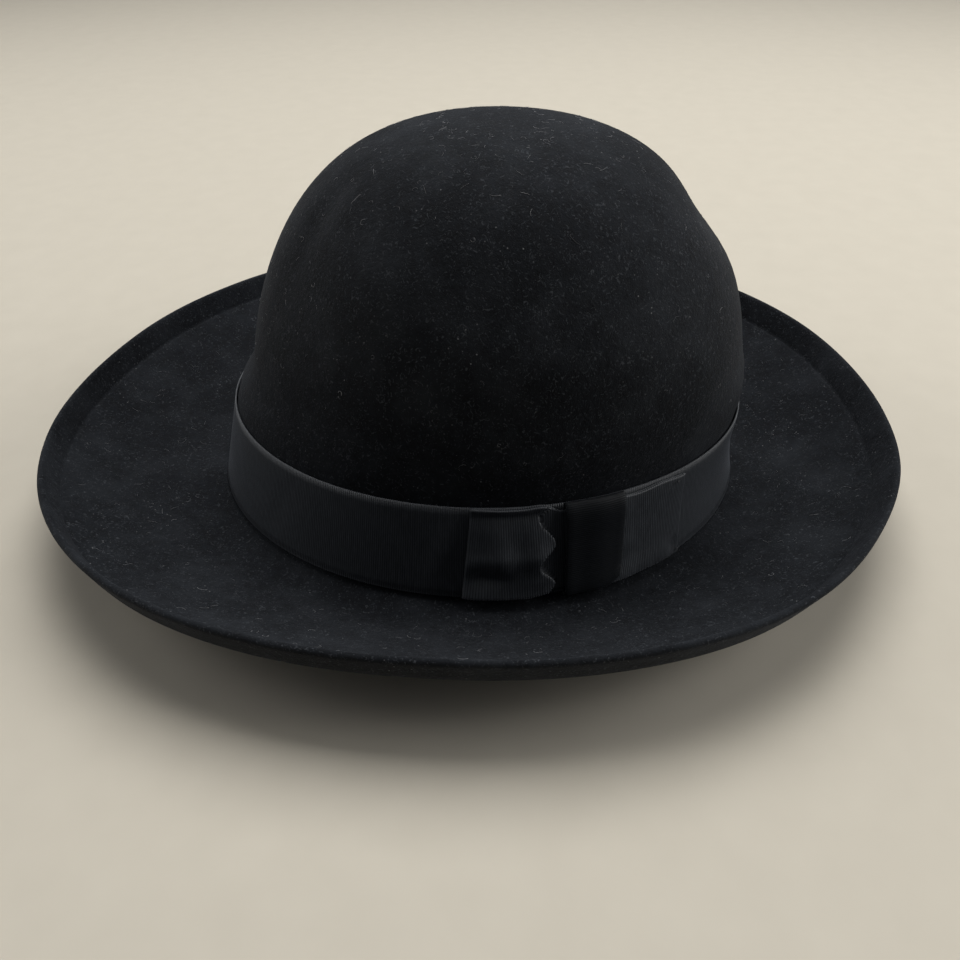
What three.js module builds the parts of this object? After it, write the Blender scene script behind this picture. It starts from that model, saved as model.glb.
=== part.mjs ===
// A round-crown wool-felt hat: dished brim with a turned-up lip, grosgrain ribbon band and a flat side
// bow, with the leather sweatband and the satin lining that such a hat has inside.
// Millimetres, +Z up. The hat stands on the fold at the foot of its crown, which lies on z = 0.
// The front is -Y, the back is +Y, and the wearer's left, where the bow sits, is +X. The origin is in
// the middle of the brim's outline.
import * as THREE from "three";

// ---- Driving dimensions ------------------------------------------------------------------------

const TURN_STEPS = 48; // facets round the hat
const FELT = 2.6; // felt thickness
const FOOT_RADIUS = 95.3; // mean of the crown's half length and half width at the ribbon's lower edge
const OVAL = 7.65; // the oval's half length is this much over the mean, its half width this much under
const WALL_TILT = THREE.MathUtils.degToRad(13.2); // how far the wall behind the ribbon leans inwards
const RIBBON_WIDTH = 34;
const RIBBON_THICK = 0.8;
const CROWN_HEIGHT = 138.5;
const CROWN_TAPER = 0.02; // share of its width that the dome loses to taper alone
const DOME_RISE = 1.95; // powers of the dome's curve: how late it turns over ...
const DOME_ROUND = 2.69; // ... and how round its tip is
const CROWN_LEAN = 7.3; // how far the dome is blocked towards the back
const LEAN_RISE = 18; // height over which the lean comes in

const FOLD_RADIUS = 3.5; // inner radius of the fold between crown and brim
const REST_RING = 7; // width of the flat ring under the fold, on which the hat stands
const CREASE_RADIUS = 147.5; // mean radius of the sharp crease where the lip turns up
const CREASE_RISE = 20.8; // how far the brim climbs from the flat ring to the crease
const DISH_POWER = 1.3; // how the climb gathers towards the crease
const LIP_HEIGHT = 9.3;
const LIP_FLARE = 3.6; // how far the lip leans outwards
const BRIM_FORWARD = 5.1; // the brim reaches this much further in front
const SIDE_LIFT = 2.8; // the brim's sides curl up and its ends dip by this much
const BRIM_SQUARENESS = 2.2; // power of the brim's outline: 2 is a plain oval

// Soft dents that blocking and handling have left in the crown: where each is centred, how wide and
// how deep it is. A negative depth is a swelling.
const DENTS = [
  { turn: -52, spread: 20, height: 92, reach: 26, depth: 3.5 },
  { turn: 96, spread: 19, height: 108, reach: 12, depth: 3.2 },
  { turn: 92, spread: 42, height: 41, reach: 10.5, depth: -5.6 },
  { turn: 92, spread: 42, height: 57, reach: 16, depth: 1.6 },
  { turn: 66, spread: 34, height: 6, reach: 15, depth: 2.8 },
];
const DENT_FADE = 30; // radius under which a dent fades out, so that the dome's pole stays whole

// Where the brim reaches further out than its oval, or less far, and over how many degrees of turn.
const BRIM_WAVES = [
  { turn: -124, spread: 18, reach: -0.7 },
  { turn: -84, spread: 17, reach: 1.3 },
  { turn: 61, spread: 11, reach: -1.4 },
  { turn: 87, spread: 14, reach: 1.2 },
  { turn: 130, spread: 20, reach: 1.8 },
];

// Depths below the felt's outer surface of the layers inside the crown.
const GAP = 0.4; // clearance kept between neighbouring layers
const LINING_THICK = 0.5;
const LINING_DEPTH = FELT + GAP;
const SWEATBAND_THICK = 1.0;
const SWEATBAND_DEPTH = LINING_DEPTH + LINING_THICK + GAP;
const SWEATBAND_FOOT = { radius: 91.2, height: 0.6 }; // outer lower corner of the sweatband
const SWEATBAND_TOP = 41;
const SWEATBAND_BEND = 22; // way up the wall at which the leather bends to follow it
const LINING_FOOT = 6;
const LINING_SPLIT = 6; // dome station at which the lining's side panel meets its tip
const REED = { radius: 92.65, height: 1.55, thick: 0.5 }; // stiff cord in the sweatband's lower edge
const REED_TAPE_THICK = 0.3;
const PIPING_THICK = 0.7; // radius of the corded seam round the lining's tip

// The bow, by its turn round the crown in degrees from the wearer's left, +X, towards the back.
const BOW = { loopStart: 2, knotStart: 20.3, knotEnd: 32.4, tailEnd: 48.5 };
const BOW_NECK = 5; // how far loop and tail reach into the knot's tunnel, in degrees
const BOW_CLEAR = RIBBON_THICK + 2 * GAP; // the bow's back layer stands this far off the felt
const BOW_STEP = 3; // longest straight run along the bow, in degrees
const LOOP_PUFF = 4.6; // the loop's depth at its fullest
const TAIL_THICK = 1.4;
const KNOT_DEPTH = 3.9;
const KNOT_WALL = 0.8;
const NECK_CLEAR = BOW_CLEAR + KNOT_WALL + GAP; // the necks stand this far off the felt
const LOOP_WALL = 0.6;

// ---- The hat's section, drawn in a plane of mean radius and height ------------------------------

const wallUp = new THREE.Vector2(-Math.sin(WALL_TILT), Math.cos(WALL_TILT));
const wallOut = new THREE.Vector2(Math.cos(WALL_TILT), Math.sin(WALL_TILT));
const wallFoot = new THREE.Vector2(FOOT_RADIUS, FELT + FOLD_RADIUS * (1 - Math.sin(WALL_TILT)));
const wallTop = wallFoot.clone().addScaledVector(wallUp, RIBBON_WIDTH);
const foldCentre = wallFoot.clone().addScaledVector(wallOut, FOLD_RADIUS);
const ringEdge = foldCentre.x + REST_RING;
const DOME_STEPS = 12;
const FOLD_STEPS = 3;
const BRIM_STEPS = 6;

function smooth(value) {
  return THREE.MathUtils.smoothstep(value, 0, 1);
}

// A point of the wall behind the ribbon, by its way up the wall and its distance off the felt.
function onWall(up, off) {
  return wallFoot.clone().addScaledVector(wallUp, up).addScaledVector(wallOut, off);
}

// The dome's outer line, from the ribbon's top edge (share 0) to the pole (share 1).
function domePoint(share) {
  const rise = share * (CROWN_HEIGHT - wallTop.y);
  const round = Math.pow(1 - Math.pow(share, DOME_RISE), 1 / DOME_ROUND);
  return new THREE.Vector2(wallTop.x * round * (1 - CROWN_TAPER * share), wallTop.y + rise);
}

// The dome's outer line as stations from the ribbon's top edge to the pole, bunched towards the pole,
// where the dome turns over. Every layer of the crown uses the same stations.
function domeStations() {
  return Array.from({ length: DOME_STEPS + 1 }, (_, i) =>
    domePoint(1 - Math.pow(1 - i / DOME_STEPS, DOME_ROUND)),
  );
}

// A line of the section moved a constant distance towards its right-hand side. A point on the axis
// stays on it.
function offsetLine(line, distance) {
  return line.map((point, i) => {
    const ahead = line[Math.min(i + 1, line.length - 1)];
    const behind = line[Math.max(i - 1, 0)];
    const along = ahead.clone().sub(behind).normalize();
    const moved = new THREE.Vector2(point.x + along.y * distance, point.y - along.x * distance);
    if (point.x < 1e-6) moved.set(0, point.y - Math.sign(along.x) * distance);
    return moved;
  });
}

// The felt's top and outer surface, from the pole down the crown and out to the foot of the lip.
function feltTopLine() {
  const dome = domeStations().reverse();
  const wall = [onWall(RIBBON_WIDTH / 2, 0), wallFoot.clone()];
  const fold = Array.from({ length: FOLD_STEPS }, (_, i) => {
    const angle = THREE.MathUtils.lerp(Math.PI + WALL_TILT, 1.5 * Math.PI, (i + 1) / FOLD_STEPS);
    return new THREE.Vector2(Math.cos(angle), Math.sin(angle)).multiplyScalar(FOLD_RADIUS).add(foldCentre);
  });
  const brim = Array.from({ length: BRIM_STEPS + 1 }, (_, i) => brimPoint(i / BRIM_STEPS));
  return [...dome, ...wall, ...fold, ...brim];
}

// The brim's top surface, from the outer edge of the flat ring (share 0) to the crease (share 1).
function brimPoint(share) {
  const radius = THREE.MathUtils.lerp(ringEdge, CREASE_RADIUS, share);
  return new THREE.Vector2(radius, FELT + CREASE_RISE * Math.pow(share, DISH_POWER));
}

// The lip's section beyond the crease: up its inner face, round its top edge, down its outer face
// and round the bend under it.
function lipLine() {
  const crease = brimPoint(1);
  const up = new THREE.Vector2(LIP_FLARE, LIP_HEIGHT).normalize();
  const out = new THREE.Vector2(up.y, -up.x);
  const at = (along, across) =>
    crease.clone().addScaledVector(up, along).addScaledVector(out, across);
  const length = Math.hypot(LIP_FLARE, LIP_HEIGHT);
  return [
    at(length / 2, 0),
    at(length - FELT / 3, 0),
    at(length, FELT / 3),
    at(length, (2 * FELT) / 3),
    at(length - FELT / 3, FELT),
    at(length / 2, FELT),
    at(FELT / 2, FELT),
    at(-FELT / 2, FELT * 0.75),
  ];
}

// ---- From the section to the oval, leaning, dented hat -----------------------------------------

// How far a turn is from a middle, as a multiple of a spread, the short way round.
function away(turn, middle, spread) {
  const apart = THREE.MathUtils.euclideanModulo(THREE.MathUtils.radToDeg(turn) - middle + 180, 360) - 180;
  return apart / spread;
}

function dentAt(radius, height, turn) {
  const fade = smooth(radius / DENT_FADE);
  return DENTS.reduce((sum, dent) => {
    const across = away(turn, dent.turn, dent.spread);
    const up = (height - dent.height) / dent.reach;
    return sum + fade * dent.depth * Math.exp(-across * across - up * up);
  }, 0);
}

function brimWave(turn) {
  return BRIM_WAVES.reduce(
    (sum, wave) => sum + wave.reach * Math.exp(-(away(turn, wave.turn, wave.spread) ** 2)),
    0,
  );
}

// How far a superellipse's outline stands outside its oval, as a factor of the radius.
function squareness(turn) {
  const sum = Math.abs(Math.cos(turn)) ** BRIM_SQUARENESS + Math.abs(Math.sin(turn)) ** BRIM_SQUARENESS;
  return sum ** (-1 / BRIM_SQUARENESS);
}

// The place in the hat of a section point at a turn about +Z, which starts at +X.
function place(radius, height, turn) {
  const oval = OVAL * Math.min(radius / FOOT_RADIUS, 1);
  const outward = smooth((radius - ringEdge) / (CREASE_RADIUS - ringEdge));
  const wide = THREE.MathUtils.lerp(1, squareness(turn), outward);
  const back = CROWN_LEAN * smooth((height - wallTop.y) / LEAN_RISE) + BRIM_FORWARD * (1 - outward);
  const moved = outward * brimWave(turn) - dentAt(radius, height, turn);
  return new THREE.Vector3(
    ((radius - oval) * wide + moved) * Math.cos(turn),
    ((radius + oval) * wide + moved) * Math.sin(turn) + back,
    height + SIDE_LIFT * outward * Math.cos(2 * turn),
  );
}

function moveEach(geometry, move) {
  const position = geometry.getAttribute("position");
  for (let i = 0; i < position.count; i += 1) {
    const moved = move(position.getX(i), position.getY(i), position.getZ(i));
    position.setXYZ(i, moved.x, moved.y, moved.z);
  }
  geometry.computeVertexNormals();
  return geometry;
}

// A section turned all the way round. A lathe turns about Y, starting at +Z: Y becomes the height.
function ring(section) {
  const lathe = new THREE.LatheGeometry(section, TURN_STEPS);
  return moveEach(lathe, (x, y, z) => place(Math.hypot(x, z), y, Math.atan2(x, z)));
}

function closed(section) {
  return [...section, section[0].clone()];
}

// A strip between two offsets of one upward line, as a closed section.
function strip(line, nearSide, farSide) {
  return closed([...offsetLine(line, farSide), ...offsetLine(line, nearSide).reverse()]);
}

function degrees(value) {
  return THREE.MathUtils.degToRad(value);
}

// A section (x is the mean radius, y the height) swept from one turn to another.
function sweep(section, from, to, steps) {
  const depth = degrees(to - from);
  const extrude = { depth, steps, bevelEnabled: false };
  const solid = new THREE.ExtrudeGeometry(new THREE.Shape(section), extrude);
  return moveEach(solid, (x, y, z) => place(x, y, degrees(to) - z));
}

// A closed outline with its long edges split, so that it can follow the crown's curve.
function finer(outline) {
  return outline.flatMap((point, i) => {
    const next = outline[(i + 1) % outline.length];
    const parts = Math.max(1, Math.ceil(Math.abs(next.x - point.x) / BOW_STEP));
    return Array.from({ length: parts }, (_, k) => point.clone().lerp(next, k / parts));
  });
}

// An outline on the crown's surface (x is the turn in degrees, y the distance off the felt),
// extruded up the wall over part of the ribbon's width.
function upright(outline, from, to, hole) {
  const shape = new THREE.Shape(finer(outline));
  if (hole) shape.holes.push(new THREE.Path(finer(hole)));
  const solid = new THREE.ExtrudeGeometry(shape, { depth: to - from, steps: 2, bevelEnabled: false });
  return moveEach(solid, (x, y, z) => {
    const point = onWall(from + z, y);
    return place(point.x, point.y, degrees(-x));
  });
}

// ---- The pieces --------------------------------------------------------------------------------

// The rest ring is dead flat under the fold, so its points are set straight below those of the top.
function feltBody() {
  const top = feltTopLine();
  const under = offsetLine(top, FELT).slice(0, -1);
  top.forEach((point, i) => {
    if (point.y <= FELT) under[i].set(point.x, 0);
  });
  return ring([...under, ...lipLine().reverse(), ...top.reverse()]);
}

function ribbonBand() {
  const line = [0, 0.5, 1].map((share) => onWall(share * RIBBON_WIDTH, 0));
  return ring(strip(line, GAP, GAP + RIBBON_THICK));
}

// A ribbon folded back on itself: a flat tube, open at its top and bottom, that narrows to a neck.
function bowFrontLoop() {
  const start = BOW.loopStart;
  const neck = BOW.knotStart + BOW_NECK;
  const back = BOW_CLEAR;
  const front = BOW_CLEAR + LOOP_PUFF;
  const outline = (inset) => {
    const path = new THREE.Path();
    const fold = -(start + inset / 2);
    path.moveTo(fold - 1.5, back + inset);
    path.quadraticCurveTo(fold, back + inset, fold, back + 1.6);
    path.quadraticCurveTo(fold, front - 1 - inset, fold - 4, front - 0.6 - inset);
    path.quadraticCurveTo(-(start + 10), front + 0.4 - inset, 2.5 - BOW.knotStart, NECK_CLEAR + 1.9 - inset);
    path.lineTo(inset / 2 - neck, NECK_CLEAR + 1.8 - inset);
    path.lineTo(inset / 2 - neck, NECK_CLEAR + inset);
    path.lineTo(1.5 - BOW.knotStart, NECK_CLEAR + inset);
    path.lineTo(3.5 - BOW.knotStart, back + inset);
    return path.getPoints(4);
  };
  return upright(outline(0), 0.2, RIBBON_WIDTH - 0.2, outline(LOOP_WALL));
}

// The rear half of the bow is pressed flat: one folded layer with its neck under the knot.
function bowTail() {
  const neck = BOW.knotEnd - BOW_NECK;
  const outline = [
    [-neck, NECK_CLEAR],
    [-neck, NECK_CLEAR + TAIL_THICK],
    [-(BOW.knotEnd + 1.5), NECK_CLEAR + TAIL_THICK],
    [-(BOW.knotEnd + 4), BOW_CLEAR + TAIL_THICK],
    [-BOW.tailEnd, BOW_CLEAR + TAIL_THICK],
    [-BOW.tailEnd, BOW_CLEAR],
    [-(BOW.knotEnd + 3), BOW_CLEAR],
    [-(BOW.knotEnd + 1), NECK_CLEAR],
  ];
  return upright(outline.map(([x, y]) => new THREE.Vector2(x, y)), 0.3, RIBBON_WIDTH - 0.5);
}

// The short ribbon wrapped round the bow's middle: a tunnel through which loop and tail pass.
function bowKnot() {
  const low = BOW_CLEAR;
  const high = BOW_CLEAR + KNOT_DEPTH;
  const overhang = 0.9;
  const section = new THREE.Shape([
    onWall(-overhang, low),
    onWall(-overhang, high - 1),
    onWall(0, high),
    onWall(RIBBON_WIDTH, high),
    onWall(RIBBON_WIDTH + overhang, high - 1),
    onWall(RIBBON_WIDTH + overhang, low),
  ]);
  section.holes.push(
    new THREE.Path([
      onWall(-overhang + KNOT_WALL, low + KNOT_WALL),
      onWall(-overhang + KNOT_WALL, high - KNOT_WALL),
      onWall(RIBBON_WIDTH + overhang - KNOT_WALL, high - KNOT_WALL),
      onWall(RIBBON_WIDTH + overhang - KNOT_WALL, low + KNOT_WALL),
    ]),
  );
  const turn = degrees(BOW.knotEnd - BOW.knotStart);
  const solid = new THREE.ExtrudeGeometry(section, { depth: turn, steps: 4, bevelEnabled: false });
  return moveEach(solid, (x, y, z) => place(x, y, degrees(BOW.knotEnd) - z));
}

// A tack: a short bar of thread, laid along the ribbon, that holds down an edge of the bow.
function tack(turn, up, off) {
  const span = 1.3;
  const thick = 0.6;
  const outline = [
    new THREE.Vector2(-turn - span / 2, off),
    new THREE.Vector2(-turn + span / 2, off),
    new THREE.Vector2(-turn + span / 3, off + thick),
    new THREE.Vector2(-turn - span / 3, off + thick),
  ];
  return upright(outline, up - thick / 2, up + thick / 2);
}

// The sweatband's line, from its lower edge up: it stands off the fold to leave room for the reed.
function sweatbandLine() {
  return [
    new THREE.Vector2(SWEATBAND_FOOT.radius, SWEATBAND_FOOT.height),
    onWall(8, -SWEATBAND_DEPTH - 0.1),
    onWall(SWEATBAND_BEND, -SWEATBAND_DEPTH),
    onWall(SWEATBAND_TOP - wallFoot.y, -SWEATBAND_DEPTH),
  ];
}

function sweatband() {
  return ring(strip(sweatbandLine(), -SWEATBAND_THICK, 0));
}

function circleSection(radius, height, thick, sides) {
  return Array.from({ length: sides }, (_, i) => {
    const angle = (2 * Math.PI * i) / sides;
    return new THREE.Vector2(radius + thick * Math.cos(angle), height + thick * Math.sin(angle));
  });
}

function reed() {
  return ring(closed(circleSection(REED.radius, REED.height, REED.thick, 6)));
}

// A tape folded round the reed from below, with its inner arm sewn to the sweatband.
function reedTape() {
  const inner = REED.thick + 0.3;
  const arc = (thick) =>
    [180, 225, 270, 315, 360].map((angle) => {
      const turn = degrees(angle);
      return new THREE.Vector2(REED.radius + thick * Math.cos(turn), REED.height + thick * Math.sin(turn));
    });
  const outerArc = arc(inner + REED_TAPE_THICK);
  const innerArc = arc(inner).reverse();
  const armTop = REED.height + 1.6;
  const arm = [
    new THREE.Vector2(innerArc[4].x, armTop),
    new THREE.Vector2(outerArc[0].x, armTop),
  ];
  return ring(closed([...outerArc, ...innerArc, ...arm]));
}

// A patch on the sweatband's inner face, by its turns and its way up the wall.
function sweatbandPatch(from, to, low, high, thick) {
  const depth = -SWEATBAND_DEPTH - SWEATBAND_THICK - GAP - 0.2;
  const section = [
    onWall(low, depth - thick),
    ...[low, SWEATBAND_BEND, high].map((up) => onWall(up, depth)),
    ...[high, SWEATBAND_BEND].map((up) => onWall(up, depth - thick)),
  ];
  return sweep(section, from, to, 3);
}

// The little bow over the sweatband's back seam: two loops that meet in a narrow waist.
function seamBow() {
  const width = 26;
  const tall = 9;
  const waist = 3.2;
  const shape = new THREE.Shape();
  shape.moveTo(-width / 2, -tall / 2);
  shape.quadraticCurveTo(-width / 5, -tall / 2, 0, -waist / 2);
  shape.quadraticCurveTo(width / 5, -tall / 2, width / 2, -tall / 2);
  shape.quadraticCurveTo(width / 2 + 1.5, 0, width / 2, tall / 2);
  shape.quadraticCurveTo(width / 5, tall / 2, 0, waist / 2);
  shape.quadraticCurveTo(-width / 5, tall / 2, -width / 2, tall / 2);
  shape.quadraticCurveTo(-width / 2 - 1.5, 0, -width / 2, -tall / 2);
  const solid = new THREE.ExtrudeGeometry(shape, { depth: 1.2, bevelEnabled: false, curveSegments: 4 });
  const depth = -SWEATBAND_DEPTH - SWEATBAND_THICK - 2 * GAP - 1;
  return moveEach(solid, (x, y, z) => {
    const point = onWall(15 + y, depth - z);
    return place(point.x, point.y, Math.PI / 2 - x / point.x);
  });
}

function liningSide() {
  const wall = [LINING_FOOT - wallFoot.y, RIBBON_WIDTH / 2].map((up) => onWall(up, 0));
  const dome = domeStations().slice(0, LINING_SPLIT + 1);
  return ring(strip([...wall, ...dome], -LINING_DEPTH - LINING_THICK, -LINING_DEPTH));
}

function liningTip() {
  const dome = domeStations().slice(LINING_SPLIT);
  dome[0].lerp(dome[1], 0.06);
  const outer = offsetLine(dome, -LINING_DEPTH);
  const inner = offsetLine(dome, -LINING_DEPTH - LINING_THICK);
  return ring([...inner.reverse(), ...outer]);
}

function liningPiping() {
  const seam = offsetLine(domeStations(), -LINING_DEPTH - LINING_THICK - GAP - PIPING_THICK)[LINING_SPLIT];
  return ring(closed(circleSection(seam.x, seam.y, PIPING_THICK, 6)));
}

// ---- The assembly ------------------------------------------------------------------------------

const hat = new THREE.Group();

function add(name, geometry, color, roughness) {
  const mesh = new THREE.Mesh(geometry, new THREE.MeshStandardMaterial({ color, roughness, metalness: 0 }));
  mesh.name = name;
  hat.add(mesh);
}

const FELT_BLACK = 0x111214;
const RIBBON_BLACK = 0x15161a;
const LEATHER_BROWN = 0x3b2a20;
const SATIN = 0x1c1c22;
const CORD_GREY = 0x8c8a84;
const THREAD_BLACK = 0x0c0c0e;

add("felt_body", feltBody(), FELT_BLACK, 0.95);
add("ribbon_band", ribbonBand(), RIBBON_BLACK, 0.6);
add("bow_front_loop", bowFrontLoop(), RIBBON_BLACK, 0.6);
add("bow_rear_tail", bowTail(), RIBBON_BLACK, 0.6);
add("bow_knot", bowKnot(), RIBBON_BLACK, 0.6);
add("sweatband", sweatband(), LEATHER_BROWN, 0.55);
add("sweatband_reed", reed(), CORD_GREY, 0.5);
add("reed_tape", reedTape(), THREAD_BLACK, 0.8);
add("back_seam_tape", sweatbandPatch(88.2, 91.8, 9, 28, 0.5), RIBBON_BLACK, 0.7);
add("back_seam_bow", seamBow(), RIBBON_BLACK, 0.6);
add("size_tab", sweatbandPatch(66, 73, 14, 24, 0.4), CORD_GREY, 0.8);
add("lining_side", liningSide(), SATIN, 0.4);
add("lining_tip", liningTip(), SATIN, 0.4);
add("lining_piping", liningPiping(), SATIN, 0.4);

const tailFace = BOW_CLEAR + TAIL_THICK + GAP;
const TACKS = {
  tail_tack_lower: [BOW.tailEnd - 1.6, 2.2, tailFace],
  tail_tack_upper: [BOW.tailEnd - 1.6, RIBBON_WIDTH - 3, tailFace],
  ribbon_tack_front: [-90, 1.6, RIBBON_THICK + 2 * GAP],
  ribbon_tack_right: [180, 1.6, RIBBON_THICK + 2 * GAP],
  ribbon_tack_back: [90, 1.6, RIBBON_THICK + 2 * GAP],
};
for (const [name, [turn, up, off]] of Object.entries(TACKS)) {
  add(name, tack(turn, up, off), THREAD_BLACK, 0.7);
}

export default hat;
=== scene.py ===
# %% [markdown]
# # A round-crown felt hat
# The hat is one wool-felt shell: crown and brim are blocked from a single piece. Round the crown runs
# a ribbed grosgrain ribbon with a flat bow on the wearer's left. Inside are a leather sweatband and a
# satin lining. The CAD model holds every size and place. This notebook replaces each of its plain
# solids by a finely made piece in the same place, gives it a material, and lights the whole.

import math
import random

import bmesh
import bpy
from mathutils import Matrix, Vector, noise


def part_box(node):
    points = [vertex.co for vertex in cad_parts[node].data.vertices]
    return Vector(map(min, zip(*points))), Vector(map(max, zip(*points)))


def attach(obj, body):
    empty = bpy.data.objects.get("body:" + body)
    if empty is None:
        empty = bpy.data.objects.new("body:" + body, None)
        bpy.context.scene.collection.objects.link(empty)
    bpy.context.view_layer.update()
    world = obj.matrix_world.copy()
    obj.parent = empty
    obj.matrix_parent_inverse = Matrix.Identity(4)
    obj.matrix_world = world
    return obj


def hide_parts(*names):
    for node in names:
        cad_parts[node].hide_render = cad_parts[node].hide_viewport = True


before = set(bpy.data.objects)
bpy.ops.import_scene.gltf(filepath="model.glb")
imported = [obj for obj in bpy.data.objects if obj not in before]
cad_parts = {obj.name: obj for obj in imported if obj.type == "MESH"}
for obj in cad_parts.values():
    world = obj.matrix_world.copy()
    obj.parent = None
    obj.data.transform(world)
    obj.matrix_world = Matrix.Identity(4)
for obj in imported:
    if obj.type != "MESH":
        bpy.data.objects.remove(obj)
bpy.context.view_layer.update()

# %% [markdown]
# ## The hat's section
# A hat is almost a turned shape: a section spun about the upright axis, then stretched to the oval of
# a head. So every piece here is first drawn as a mean radius and a height, the way a turner draws it.
# The driving sizes are the CAD model's own, in metres.

# %% Driving sizes
MM = 0.001
FELT = 2.6 * MM  # felt thickness
FOOT_RADIUS = 95.3 * MM  # mean radius of the crown at the ribbon's lower edge
OVAL = 7.65 * MM  # half the difference between the oval's half length and half width
WALL_TILT = math.radians(13.2)  # lean of the wall behind the ribbon
RIBBON_WIDTH = 34 * MM
CROWN_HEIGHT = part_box("felt_body")[1].z
CROWN_TAPER = 0.02
DOME_RISE = 1.95
DOME_ROUND = 2.69
CROWN_LEAN = 7.3 * MM
LEAN_RISE = 18 * MM
FOLD_RADIUS = 3.5 * MM
REST_RING = 7 * MM
CREASE_RADIUS = 147.5 * MM
CREASE_RISE = 20.8 * MM
DISH_POWER = 1.3
LIP_HEIGHT = 9.3 * MM
LIP_FLARE = 3.6 * MM
BRIM_FORWARD = 5.1 * MM
SIDE_LIFT = 2.8 * MM
BRIM_SQUARENESS = 2.2

WALL_UP = Vector((-math.sin(WALL_TILT), math.cos(WALL_TILT)))
WALL_OUT = Vector((math.cos(WALL_TILT), math.sin(WALL_TILT)))
WALL_FOOT = Vector((FOOT_RADIUS, FELT + FOLD_RADIUS * (1 - math.sin(WALL_TILT))))
WALL_TOP = WALL_FOOT + WALL_UP * RIBBON_WIDTH
FOLD_CENTRE = WALL_FOOT + WALL_OUT * FOLD_RADIUS
RING_EDGE = FOLD_CENTRE.x + REST_RING
print(f"the ribbon lies from {WALL_FOOT.y / MM:.1f} to {WALL_TOP.y / MM:.1f} mm up")


# %% The lines of the section
def smooth(value):
    value = min(max(value, 0.0), 1.0)
    return value * value * (3 - 2 * value)


def mix(low, high, share):
    return low + (high - low) * share


def on_wall(up, off):
    """A point of the wall behind the ribbon, by its way up the wall and its distance off the felt."""
    return WALL_FOOT + WALL_UP * up + WALL_OUT * off


def dome_point(share):
    """The dome's outer line, from the ribbon's top edge (0) to the pole (1)."""
    round_off = (1 - share**DOME_RISE) ** (1 / DOME_ROUND)
    radius = WALL_TOP.x * round_off * (1 - CROWN_TAPER * share)
    return Vector((radius, mix(WALL_TOP.y, CROWN_HEIGHT, share)))


def brim_point(share):
    """The brim's top line, from the flat ring (0) to the crease (1)."""
    radius = mix(RING_EDGE, CREASE_RADIUS, share)
    return Vector((radius, FELT + CREASE_RISE * share**DISH_POWER))


def dome_line(steps, last=1.0):
    """The dome's line up to a share of its stations, which bunch towards the pole."""
    stations = [last * i / steps for i in range(steps + 1)]
    return [dome_point(1 - (1 - station) ** DOME_ROUND) for station in stations]


def offset_line(line, distance):
    """A line moved towards its right-hand side; a point on the axis stays on it."""
    moved = []
    for i, point in enumerate(line):
        ahead = line[min(i + 1, len(line) - 1)]
        behind = line[max(i - 1, 0)]
        along = (ahead - behind).normalized()
        if point.x < 1e-7:
            moved.append(Vector((0, point.y - distance * math.copysign(1, along.x))))
        else:
            moved.append(point + Vector((along.y, -along.x)) * distance)
    return moved


print(f"the dome's widest mean radius is {WALL_TOP.x / MM:.1f} mm")

# %% [markdown]
# ## From a turned shape to a worn hat
# A hat that has been worn is not a perfect oval. Its crown leans back, its brim dips in front and
# behind, and hands have left shallow dents. One function holds all of that, and every piece passes
# through it, so the ribbon and the lining follow each dent of the felt. Noise at the size of a hand
# adds the small unevenness that a lathe would never leave.

# %% Place a point of the section on the hat
# turn and spread in degrees about +Z from +X; height, reach and depth in metres; a negative depth swells
DENTS = [
    {"turn": -52, "spread": 20, "height": 92 * MM, "reach": 26 * MM, "depth": 3.5 * MM},
    {"turn": 96, "spread": 19, "height": 108 * MM, "reach": 12 * MM, "depth": 3.2 * MM},
    {"turn": 92, "spread": 42, "height": 41 * MM, "reach": 10.5 * MM, "depth": -5.6 * MM},
    {"turn": 92, "spread": 42, "height": 57 * MM, "reach": 16 * MM, "depth": 1.6 * MM},
    {"turn": 66, "spread": 34, "height": 6 * MM, "reach": 15 * MM, "depth": 2.8 * MM},
    {"turn": -60, "spread": 7, "height": 114 * MM, "reach": 15 * MM, "depth": 1.7 * MM},
    {"turn": 14, "spread": 30, "height": 87 * MM, "reach": 13 * MM, "depth": -2.4 * MM},
    {"turn": -26, "spread": 13, "height": 103 * MM, "reach": 13 * MM, "depth": -1.9 * MM},
    {"turn": 50, "spread": 13, "height": 70 * MM, "reach": 12 * MM, "depth": -1.3 * MM},
    {"turn": 170, "spread": 30, "height": 86 * MM, "reach": 24 * MM, "depth": 1.4 * MM},
]
DENT_FADE = 30 * MM
BRIM_WAVES = [  # where the brim reaches further out than its oval, or less far
    {"turn": -124, "spread": 18, "reach": -0.7 * MM},
    {"turn": -84, "spread": 17, "reach": 1.3 * MM},
    {"turn": 61, "spread": 11, "reach": -1.4 * MM},
    {"turn": 87, "spread": 14, "reach": 1.2 * MM},
    {"turn": 130, "spread": 20, "reach": 1.8 * MM},
]
WAVE = 0.45 * MM  # height of the felt's unevenness
WAVE_SPAN = 38 * MM


def away(turn, middle, spread):
    """How far a turn is from a middle in degrees, the short way round, as a multiple of a spread."""
    return ((math.degrees(turn) - middle + 180) % 360 - 180) / spread


def unevenness(radius, height, turn):
    """Soft waves of the dome and the brim; the wall behind the ribbon and the flat ring stay true."""
    dome = smooth((height - WALL_TOP.y) / LEAN_RISE)
    brim = smooth((radius - RING_EDGE) / (CREASE_RADIUS - RING_EDGE))
    where = Vector((radius * math.cos(turn), radius * math.sin(turn), height)) / WAVE_SPAN
    return WAVE * max(dome, brim) * noise.noise(where)


def dent_depth(radius, height, turn):
    total = 0.0
    for dent in DENTS:
        across = away(turn, dent["turn"], dent["spread"])
        up = (height - dent["height"]) / dent["reach"]
        total += dent["depth"] * math.exp(-across * across - up * up)
    return total * smooth(radius / DENT_FADE)


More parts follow.
